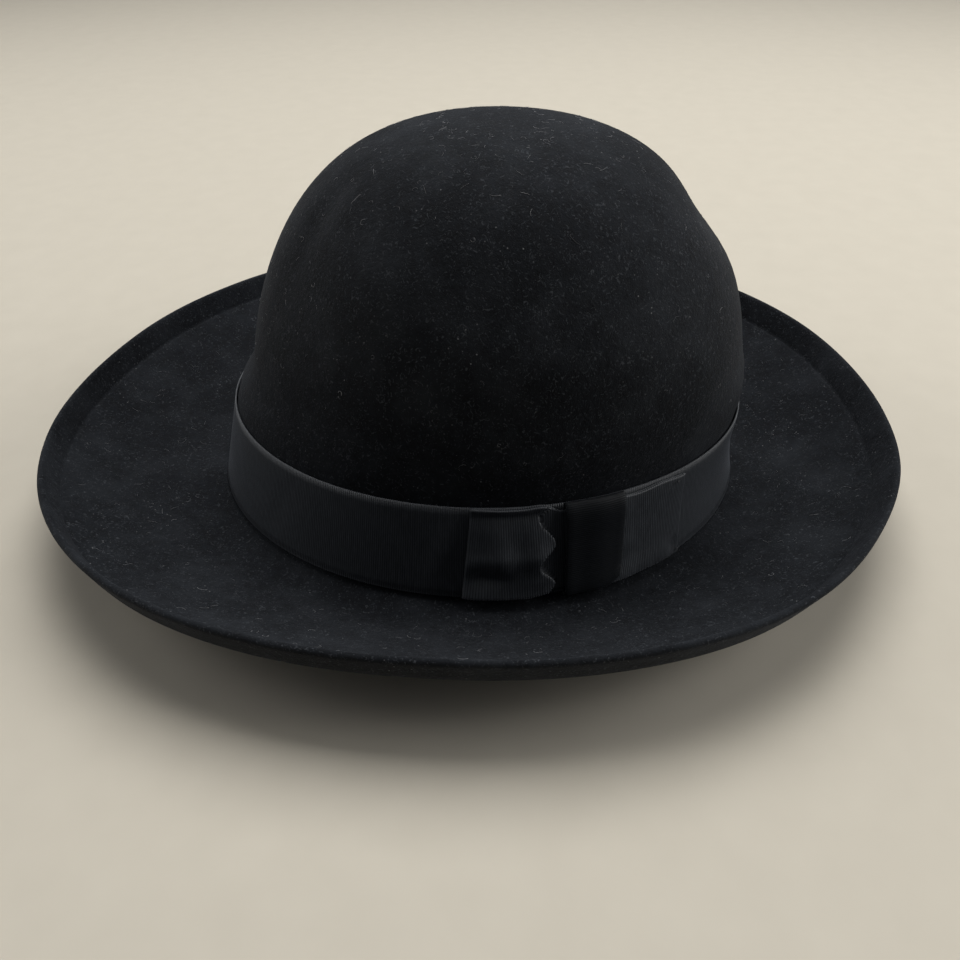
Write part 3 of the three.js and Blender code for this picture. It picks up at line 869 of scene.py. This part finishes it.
def twisted_finish(name, dark, light, roughness):
    """Thread and cord: fine slanting plies in Object coordinates."""
    material, tree, shader = new_finish(name, roughness, 0.4, 0.2)
    space = object_space(tree)
    plies = add(tree, "TexWave", {"Vector": space, "Scale": 420, "Distortion": 1.5, "Detail": 1.0},
                bands_direction="DIAGONAL")
    tree.links.new(blend_colors(tree, plies.outputs["Fac"], dark, light), shader.inputs["Base Color"])
    polish = remap(tree, plies.outputs["Fac"], 0, 1, roughness, roughness + 0.15)
    tree.links.new(polish, shader.inputs["Roughness"])
    tree.links.new(relief(tree, plies.outputs["Fac"], 0.12 * MM, 0.7), shader.inputs["Normal"])
    return material


SATIN_DARK = (0.006, 0.006, 0.008)
SATIN_LIGHT = (0.030, 0.030, 0.038)
SATIN_WEFT = 0.15
leather = leather_finish()
satin = woven_finish("lining satin", SATIN_DARK, SATIN_LIGHT, 0.35 * MM, 0.30, 0.15, SATIN_WEFT)
tape = woven_finish("cotton tape", (0.004, 0.004, 0.005), (0.022, 0.022, 0.025), 0.6 * MM, 0.8, 0.2)
label = woven_finish("woven label", (0.30, 0.28, 0.24), (0.62, 0.60, 0.54), 0.45 * MM, 0.7, 0.2)
thread = twisted_finish("black thread", (0.004, 0.004, 0.005), (0.030, 0.031, 0.035), 0.5)
reed_plastic = twisted_finish("reed plastic", (0.28, 0.27, 0.24), (0.38, 0.37, 0.34), 0.4)
print("finishes for the inside are ready")

# %% [markdown]
# ## Sweatband
# The sweatband is a strip of leather cut to the head's size, sewn in along its lower edge, with its
# ends meeting at the back under a tape. It could be spun like the felt, but a strip with two ends is
# what it is, so it is a grid too. Two pressed lines run under its upper edge, which is a real groove.

# %% Sweatband leather and its stitching
LINING_DEPTH = 3.25 * MM  # middle of the lining's thickness, below the felt's outer surface
SWEATBAND_DEPTH = 4.4 * MM  # middle of the leather's thickness
SWEATBAND_THICK = 0.95 * MM
SWEATBAND_FOOT = Vector((90.7 * MM, 0.7 * MM))
SWEATBAND_TOP = 41 * MM
SWEATBAND_GAP = 0.15  # degrees between the ends
BACK_TURN = 90.0
STITCH_COUNT = 176
STITCH_RISE = 3.6 * MM  # the stitching's height


def sweatband_point(share, depth=0.0):
    """A point up the leather, and a distance further inwards."""
    line = [SWEATBAND_FOOT, on_wall(8 * MM, -SWEATBAND_DEPTH), on_wall(22 * MM, -SWEATBAND_DEPTH)]
    line.append(on_wall(SWEATBAND_TOP - WALL_FOOT.y, -SWEATBAND_DEPTH))
    return smooth_curve(line, share) - WALL_OUT * depth


def groove(across, middle):
    return 0.22 * MM * math.exp(-(((across - middle) / 0.012) ** 2))


def sweatband_leather():
    start, turns = BACK_TURN + SWEATBAND_GAP / 2, 360 - SWEATBAND_GAP
    length, width = math.radians(turns) * SWEATBAND_FOOT.x, SWEATBAND_TOP

    def shape(along, across):
        turn = math.radians(start + along * turns)
        slack = 0.25 * MM * noise.noise(Vector((along * 22, across * 2.2, 5)))
        depth = slack * math.sin(math.pi * across) - groove(across, 0.90) - groove(across, 0.94)
        point = sweatband_point(across, depth)
        return place(point.x, point.y, turn)

    grid = warped_grid(300, 80, length, width, shape)
    piece = finish_piece("sweatband_leather", grid, leather, "leather", "sweatband")
    thicken(piece, SWEATBAND_THICK)


def add_stitch(bm, start, end, thickness):
    """One stitch: a thin closed spindle pulled tight between two points."""
    along = end - start
    turned = along.to_track_quat("Z", "Y").to_matrix().to_4x4()
    sized = Matrix.Diagonal((thickness / 2, thickness / 2, along.length / 2, 1))
    bmesh.ops.create_uvsphere(
        bm, u_segments=8, v_segments=5, radius=1,
        matrix=Matrix.Translation((start + end) / 2) @ turned @ sized,
    )


def sweatband_stitching():
    bm = bmesh.new()
    share = STITCH_RISE / SWEATBAND_TOP
    point = sweatband_point(share, SWEATBAND_THICK / 2 + 0.08 * MM)
    for i in range(STITCH_COUNT):
        first = math.tau * i / STITCH_COUNT
        last = first + math.tau / STITCH_COUNT * 0.82
        add_stitch(bm, place(point.x, point.y, first), place(point.x, point.y, last), 0.42 * MM)
    finish_piece("sweatband_stitching", bm, thread, "thread")


sweatband_leather()
sweatband_stitching()

# %% [markdown]
# ## Reed, tapes, label and the little bow
# A plastic reed keeps the opening's shape. It lies in a tape folded round it, and the tape's arm is
# what the leather is sewn to. At the back a short tape covers the join of the leather's ends, with the
# small satin bow that hatters sew over it. Ring-shaped pieces are spun. The others are warped grids,
# whose turn and height are read from the boxes of the CAD pieces they replace.


# %% Reed and its tape
def circle_section(middle, radius, sides):
    angles = [math.tau * i / sides for i in range(sides)]
    return [middle + radius * Vector((math.cos(angle), math.sin(angle))) for angle in angles]


REED_MIDDLE = Vector((92.65 * MM, 1.55 * MM))
REED_RADIUS = 0.5 * MM
TAPE_RADIUS = 0.95 * MM
TAPE_THICK = 0.28 * MM


def reed_tape():
    arm = [REED_MIDDLE + Vector((-TAPE_RADIUS, rise * MM)) for rise in (1.6, 1.1, 0.6)]
    under = []
    for angle in range(180, 361, 20):
        turn = math.radians(angle)
        under.append(REED_MIDDLE + TAPE_RADIUS * Vector((math.cos(turn), math.sin(turn))))
    route, width = even_route(arm + under, 14)
    length = math.tau * REED_MIDDLE.x

    def shape(along, across):
        point = route_point(route, across)
        return place(point.x, point.y, math.radians(BACK_TURN) + math.tau * along * 0.9995)

    grid = warped_grid(300, 14, length, width, shape)
    thicken(finish_piece("reed_tape_fold", grid, tape, "tape", "reed_tape"), TAPE_THICK)


finish_piece(
    "reed_cord", spun(circle_section(REED_MIDDLE, REED_RADIUS, 10), 240, True),
    reed_plastic, "reed", "sweatband_reed",
)
reed_tape()


# %% Seam tape, label and seam bow
def turn_of_node(node):
    """The turn, in radians, of the middle of a small CAD piece inside the crown."""
    low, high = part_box(node)
    middle = (low + high) / 2
    return math.atan2((middle.y - BRIM_FORWARD) / (FOOT_RADIUS + OVAL), middle.x / (FOOT_RADIUS - OVAL))


def patch(name, node, width, rows, material, slot, dome):
    """A small piece of cloth on the leather, as high as its CAD piece; its middle stands out a little."""
    low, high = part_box(node)
    middle, height = turn_of_node(node), high.z - low.z

    def shape(along, across):
        rise = (low.z + across * height) / SWEATBAND_TOP
        round_edge = math.sin(math.pi * along) * math.sin(math.pi * across)
        point = sweatband_point(rise, PATCH_DEPTH + dome * min(round_edge * 3, 1))
        return place(point.x, point.y, middle + (along - 0.5) * width / FOOT_RADIUS)

    grid = warped_grid(2 * rows, rows, width, height, shape)
    thicken(finish_piece(name, grid, material, slot, node), PATCH_THICK)


PATCH_THICK = 0.4 * MM
PATCH_DEPTH = SWEATBAND_THICK / 2 + 0.35 * MM
SEAM_TAPE_WIDTH = 5 * MM
SIZE_TAB_WIDTH = 9.6 * MM
patch("seam_tape_cotton", "back_seam_tape", SEAM_TAPE_WIDTH, 24, tape, "tape", 0.12 * MM)
patch("blank_size_tab", "size_tab", SIZE_TAB_WIDTH, 16, label, "label", 0.25 * MM)

SEAM_KNOT_WIDTH = 3.6 * MM
BOW_SATIN_THICK = 0.25 * MM


def seam_bow():
    low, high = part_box("back_seam_bow")
    rise, tall = (low.z + high.z) / 2, high.z - low.z
    half = (high.x - low.x) / 2 - 0.3 * MM
    outline = [(0, 0.75), (-0.5, 1.2), (-0.9, 1.25), (-1, 0.8), (-0.9, 0.35), (-0.4, 0.3), (0, 0.25)]
    outline += [(-x, off) for x, off in outline[-2::-1]]
    route, length = even_route([Vector((x * half, off * MM)) for x, off in outline], 400)

    def shape(along, across):
        step = route_point(route, along)
        spread = mix(0.36, 1.0, smooth(abs(step.x) / half * 1.25))
        pleat = 0.28 * MM * math.cos(math.tau * 2.5 * across) * (1 - smooth(abs(step.x) / half * 1.6))
        height = (rise + (across - 0.5) * tall * spread) / SWEATBAND_TOP
        point = sweatband_point(height, PATCH_DEPTH + 0.45 * MM + step.y + pleat)
        return place(point.x, point.y, math.radians(BACK_TURN) - step.x / FOOT_RADIUS)

    grid = warped_grid(140, 24, length, tall, shape)
    thicken(finish_piece("seam_bow_satin", grid, satin, "satin", "back_seam_bow"), BOW_SATIN_THICK)
    knot_outline = [(-2.2, 0.1), (-2.4, 1.0), (-1.8, 1.9), (0, 2.1), (1.8, 1.9), (2.4, 1.0), (2.2, 0.1)]
    knot_route, knot_length = even_route([Vector((up * MM, off * MM)) for up, off in knot_outline], 60)

    def knot_shape(along, across):
        step = route_point(knot_route, along)
        belly = 0.15 * MM * math.sin(math.pi * across)
        point = sweatband_point((rise + step.x) / SWEATBAND_TOP, PATCH_DEPTH + 0.35 * MM + step.y + belly)
        turn = math.radians(BACK_TURN) - (across - 0.5) * SEAM_KNOT_WIDTH / FOOT_RADIUS
        return place(point.x, point.y, turn)

    knot_grid = warped_grid(30, 10, knot_length, SEAM_KNOT_WIDTH, knot_shape)
    thicken(finish_piece("seam_bow_knot", knot_grid, satin, "satin"), BOW_SATIN_THICK)


seam_bow()

# %% [markdown]
# ## Lining
# The lining is a strip of satin round the side, gathered into an oval tip. The gathers are the whole
# look of it: deep and close at the tip, fading out towards the sweatband. Noise makes them uneven, as
# a hand-pulled thread does. Cloth simulation could pull them in, but a formula keeps the satin the
# right distance from the felt. A corded seam covers the join.

# %% Lining side, tip and piping
LINING_FOOT = 6 * MM
SIDE_ROWS = 40
SIDE_WALL_ROWS = 10
LINING_SPLIT = 0.5  # share of the dome's stations at which the side meets the tip
GATHERS = 46
LINING_THICK = 0.3 * MM
TIP_STEPS = 24
TIP_TURNS = 180


def lining_side():
    foot = LINING_FOOT - WALL_FOOT.y
    wall = [on_wall(mix(foot, RIBBON_WIDTH, i / SIDE_WALL_ROWS), 0) for i in range(SIDE_WALL_ROWS)]
    line = offset_line(wall + dome_line(SIDE_ROWS - SIDE_WALL_ROWS, LINING_SPLIT), -LINING_DEPTH)
    height = sum((second - first).length for first, second in zip(line, line[1:]))
    length = math.tau * FOOT_RADIUS
    lap = math.radians(1.2)

    def shape(along, across):
        turn = math.radians(BACK_TURN) + mix(-lap / 2, math.tau + lap / 2, along)
        wander = 2.2 * noise.noise(Vector((math.cos(turn) * 3, math.sin(turn) * 3, 1 + across)))
        pleat = (0.5 + 0.5 * math.cos(GATHERS * (turn + wander / GATHERS))) ** 0.7
        depth = mix(0.05, 1.5, across**2.2) * MM * pleat + 0.35 * MM * smooth((along - 0.98) / 0.02)
        point = line[round(across * SIDE_ROWS)] - Vector((depth * (1 - 0.4 * across), depth * 0.7 * across))
        return place(point.x, point.y, turn)

    grid = warped_grid(720, SIDE_ROWS, length, height, shape)
    piece = finish_piece("lining_side_satin", grid, satin, "satin", "lining_side")
    thicken(piece, LINING_THICK)


def lining_tip():
    line = offset_line(dome_line(2 * TIP_STEPS)[TIP_STEPS:], -LINING_DEPTH)
    bm = spun(line, TIP_TURNS, False)
    cloth = bm.loops.layers.uv.new("cloth")
    for face in bm.faces:
        for loop in face.loops:
            loop[cloth].uv = (loop.vert.co.x, loop.vert.co.y)
    piece = finish_piece("lining_tip_satin", bm, satin, "satin", "lining_tip")
    thicken(piece, LINING_THICK)


def lining_piping():
    low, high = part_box("lining_piping")
    radius = (high.z - low.z) / 2
    mean = (high.x - low.x + high.y - low.y) / 4 - radius
    middle = Vector((mean, (low.z + high.z) / 2))
    bm = spun(circle_section(middle, radius, 12), 240, True)
    finish_piece("lining_piping_cord", bm, satin_cord, "satin", "lining_piping")


satin_cord = twisted_finish("piping satin", (0.006, 0.006, 0.008), (0.034, 0.034, 0.042), 0.35)
lining_side()
lining_tip()
lining_piping()

# %% [markdown]
# ## Tacks and lint
# Five small tacks of thread hold the band and the flat half of the bow. And black felt is never clean:
# short pale fibres cling to it. Each fibre is a tiny triangle extruded along a wandering path that
# keeps close to the felt, with a fixed seed so that they fall in the same places every time.


# %% Thread tacks
def tack(name, node):
    """Three close strands of thread, as long as the CAD piece they replace."""
    low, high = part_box(node)
    middle, size = (low + high) / 2, high - low
    turn = math.atan2(middle.y, middle.x)
    along = Vector((-math.sin(turn), math.cos(turn), 0)) * max(size.x, size.y) * 0.42
    bm = bmesh.new()
    for rise in (-0.22 * MM, 0, 0.22 * MM):
        lift = Vector((0, 0, rise))
        add_stitch(bm, middle - along + lift, middle + along - lift * 0.5, 0.34 * MM)
    finish_piece(name, bm, thread, "thread", node)


for place_name in ("front", "right", "back"):
    tack(f"thread_tack_{place_name}", f"ribbon_tack_{place_name}")
for place_name in ("lower", "upper"):
    tack(f"thread_tack_tail_{place_name}", f"tail_tack_{place_name}")

# %% Lint fibres
LINT_SEED = 7
LINT_ON_CROWN = 340
LINT_ON_BRIM = 300
LINT_STEPS = 5


def crown_spot(turn, reach):
    """A place just off the crown's felt, at a share of the way from the ribbon to the pole."""
    line = [dome_point(1 - (1 - min(reach + step, 0.99)) ** DOME_ROUND) for step in (-0.01, 0, 0.01)]
    point = offset_line(line, 0.09 * MM)[1]
    return place(point.x, point.y, turn)


def brim_spot(turn, reach):
    """A place just above the brim's felt, at a share of the way from the flat ring to the crease."""
    point = brim_point(min(max(reach, 0), 1))
    return place(point.x, point.y + 0.09 * MM, turn)


def fibre_path(spot, turn, reach, draw):
    """Points of a curled hair that lies on the felt."""
    step = draw.uniform(0.9, 4.2) * MM / LINT_STEPS
    heading, curl = draw.uniform(0, math.tau), draw.uniform(-0.9, 0.9)
    start = spot(turn, reach)
    turn_length = (spot(turn + 0.001, reach) - start).length / 0.001
    reach_length = (spot(turn, reach + 0.001) - start).length / 0.001
    path = []
    for _ in range(LINT_STEPS + 1):
        path.append(spot(turn, reach))
        turn += math.cos(heading) * step / turn_length
        reach += math.sin(heading) * step / reach_length
        heading += curl + draw.uniform(-0.3, 0.3)
    return path


def add_fibre(bm, path, thick):
    """A three-sided tube along the path, closed at both ends."""
    made = bmesh.ops.create_circle(bm, cap_ends=True, segments=3, radius=thick)["verts"]
    ahead = (path[1] - path[0]).to_track_quat("Z", "Y").to_matrix().to_4x4()
    bmesh.ops.transform(bm, matrix=Matrix.Translation(path[0]) @ ahead, verts=made)
    face = made[0].link_faces[0]
    for i, (first, second) in enumerate(zip(path, path[1:])):
        new = bmesh.ops.extrude_face_region(bm, geom=[face])["geom"]
        moved = [part for part in new if isinstance(part, bmesh.types.BMVert)]
        bmesh.ops.translate(bm, vec=second - first, verts=moved)
        if i > 0:
            bmesh.ops.delete(bm, geom=[face], context="FACES_ONLY")
        face = next(part for part in new if isinstance(part, bmesh.types.BMFace))


def lint_finish():
    material, tree, shader = new_finish("lint", 0.9, 0.2, 0.3)
    tone = grain(tree, object_space(tree), 25, 1.0)
    color = blend_colors(tree, remap(tree, tone, 0.35, 0.65), (0.05, 0.05, 0.055), (0.30, 0.30, 0.31))
    tree.links.new(color, shader.inputs["Base Color"])
    return material


def lint():
    draw = random.Random(LINT_SEED)
    bm = bmesh.new()
    for spot, count, last in ((crown_spot, LINT_ON_CROWN, 0.86), (brim_spot, LINT_ON_BRIM, 0.95)):
        for _ in range(count):
            turn, reach = draw.uniform(-math.pi, math.pi), draw.uniform(0.05, last)
            add_fibre(bm, fibre_path(spot, turn, reach, draw), draw.uniform(0.030, 0.055) * MM)
    bmesh.ops.recalc_face_normals(bm, faces=bm.faces[:])
    finish_piece("lint_fibres", bm, lint_finish(), "felt")


lint()

# %% [markdown]
# ## Camera, floor and light
# A black hat shows its shape only by soft light that grazes it. One large softbox hangs behind and
# above, and two smaller ones stand at the sides, with a dim sky to fill the rest. The camera looks down
# at the wearer's left side, where the bow is. The floor is plain and pale.

# %% Camera, floor and lights
CAMERA_PLACE = Vector((0.3150, 0.0347, 0.2237))
CAMERA_TURN = math.radians(95.4)
CAMERA_PITCH = math.radians(36.5)
CAMERA_ROLL = math.radians(-0.6)


def aim(turn, pitch, roll):
    """A camera's rotation that looks along a turn about +Z from +Y, and downwards by a pitch."""
    level = math.cos(pitch)
    forward = Vector((-math.sin(turn) * level, math.cos(turn) * level, -math.sin(pitch)))
    right = forward.cross(Vector((0, 0, 1))).normalized()
    up = right.cross(forward)
    turned_right = right * math.cos(roll) + up * math.sin(roll)
    turned_up = up * math.cos(roll) - right * math.sin(roll)
    return Matrix((turned_right, turned_up, -forward)).transposed().to_4x4()


def add_camera():
    lens = bpy.data.cameras.new("camera")
    lens.sensor_width = 36
    lens.lens = 34.54
    lens.clip_start = 0.01
    camera = put_in_scene("camera", lens)
    camera.matrix_world = Matrix.Translation(CAMERA_PLACE) @ aim(CAMERA_TURN, CAMERA_PITCH, CAMERA_ROLL)
    bpy.context.scene.camera = camera
    print("camera at", [round(value, 3) for value in CAMERA_PLACE])


def add_softbox(name, place_at, look_at, size, power):
    light = bpy.data.lights.new(name, "AREA")
    light.shape = "RECTANGLE"
    light.size, light.size_y = size
    light.energy = power
    box = put_in_scene(name, light)
    direction = Vector(look_at) - Vector(place_at)
    box.rotation_euler = direction.to_track_quat("-Z", "Y").to_euler()
    box.location = place_at


FLOOR_DARK = (0.555, 0.510, 0.425)
FLOOR_LIGHT = (0.600, 0.553, 0.463)


def floor_finish():
    material, tree, shader = new_finish("pale floor", 0.9, 0.2)
    tone = grain(tree, object_space(tree), 60, 3.0)
    color = blend_colors(tree, tone, FLOOR_DARK, FLOOR_LIGHT)
    tree.links.new(color, shader.inputs["Base Color"])
    return material


def add_floor():
    bm = bmesh.new()
    bmesh.ops.create_grid(bm, x_segments=1, y_segments=1, size=3.0)
    mesh = bpy.data.meshes.new("floor")
    bm.to_mesh(mesh)
    bm.free()
    mesh.transform(Matrix.Translation((0, 0, -0.2 * MM)))
    mesh.materials.append(floor_finish())
    put_in_scene("floor", mesh)
    print("floor laid")


add_camera()
add_floor()
add_softbox("overhead_softbox", (-0.6, 0.05, 1.45), (0, 0, 0.03), (1.2, 1.2), 23.5)
add_softbox("front_softbox", (-0.15, -1.4, 0.75), (0, 0, 0.08), (0.9, 0.9), 6)
add_softbox("back_softbox", (-0.1, 1.4, 0.75), (0, 0, 0.08), (0.9, 0.9), 12)
world = bpy.data.worlds.new("studio")
world.use_nodes = True
sky = world.node_tree.nodes["Background"]
sky.inputs["Color"].default_value = (0.92, 0.95, 1.0, 1)
sky.inputs["Strength"].default_value = 0.08
bpy.context.scene.world = world
bpy.context.scene.view_settings.view_transform = "Standard"
